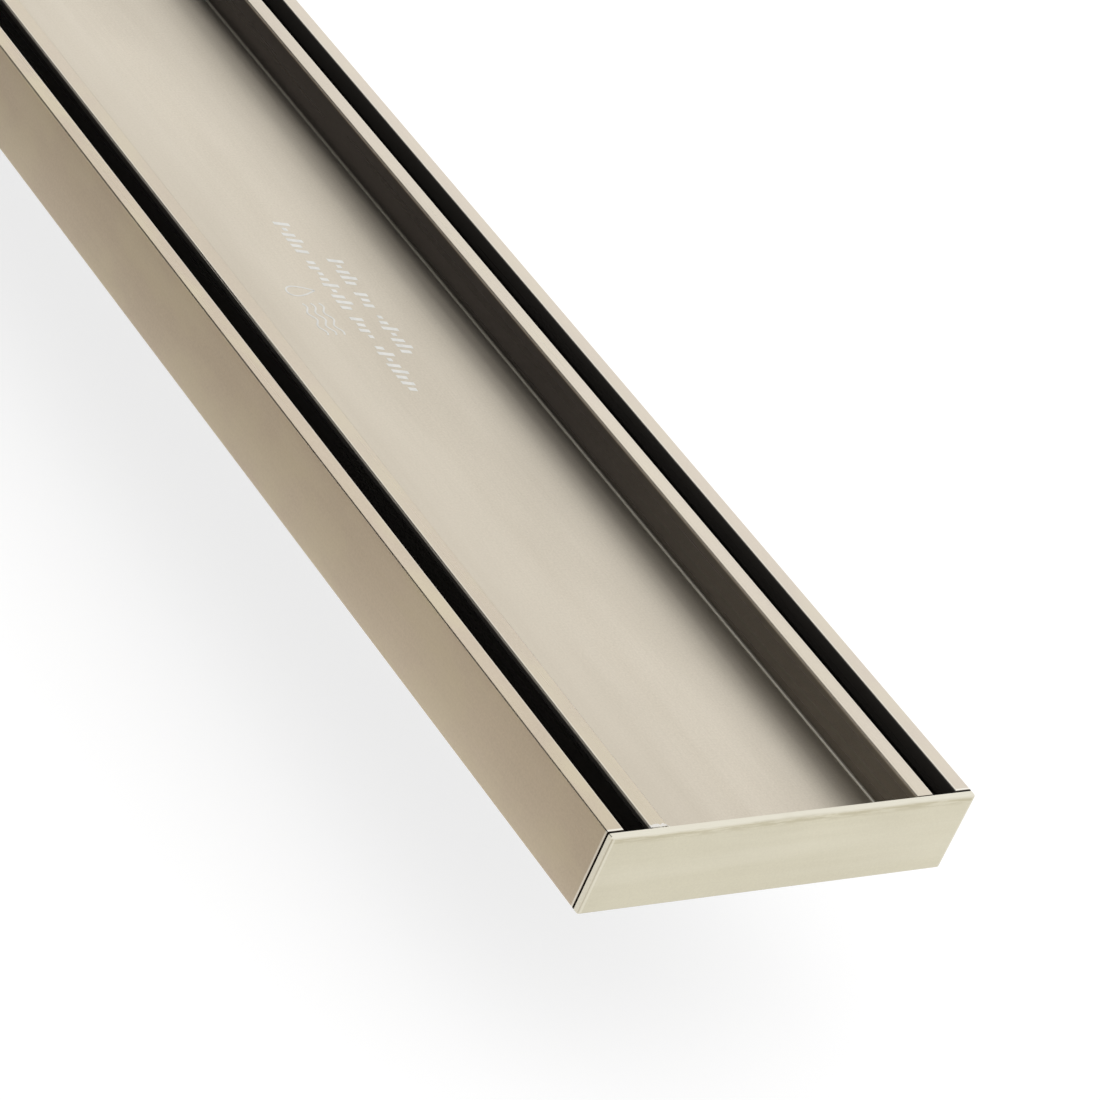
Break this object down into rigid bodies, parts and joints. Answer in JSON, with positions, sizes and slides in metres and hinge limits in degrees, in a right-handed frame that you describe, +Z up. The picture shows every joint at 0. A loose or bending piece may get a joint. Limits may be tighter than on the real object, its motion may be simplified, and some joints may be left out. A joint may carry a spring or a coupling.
{
  "type": "linear shower drain",
  "caption": "Long shower floor channel with a lift-out tray for a strip of tile, a slot on each long side, flat end caps and an outlet spigot below.",
  "frame": {"origin": "centre of the lower end of the outlet spigot, below the middle of the channel", "axes": "+Z up towards the shower floor, +Y along the channel, +X across it"},
  "size_m": [0.1, 0.9, 0.0705],
  "materials": {
    "channel": "satin champagne anodised, brushed along its length",
    "tile_tray": "satin champagne anodised, brushed along its length",
    "end_caps": "satin champagne anodised, brushed across",
    "seals": "black, matt",
    "outlet": "moulded, fine grain",
    "screws": "stainless",
    "strainer": "stainless, brushed",
    "pads": "black, matt"
  },
  "bodies": {
    "root": {"channel": "channel", "tile_tray": "tile_tray", "near_end_cap": "end_caps", "far_end_cap": "end_caps", "near_end_seal": "seals", "far_end_seal": "seals", "outlet_flange": "outlet", "outlet_spigot": "outlet", "outlet_gasket": "seals", "outlet_screws": "screws", "hair_strainer": "strainer", "strainer_knob": "strainer", "tray_pad_left_1": "pads", "tray_pad_left_2": "pads", "tray_pad_left_3": "pads", "tray_pad_right_1": "pads", "tray_pad_right_2": "pads", "tray_pad_right_3": "pads"}
  },
  "joints": []
}
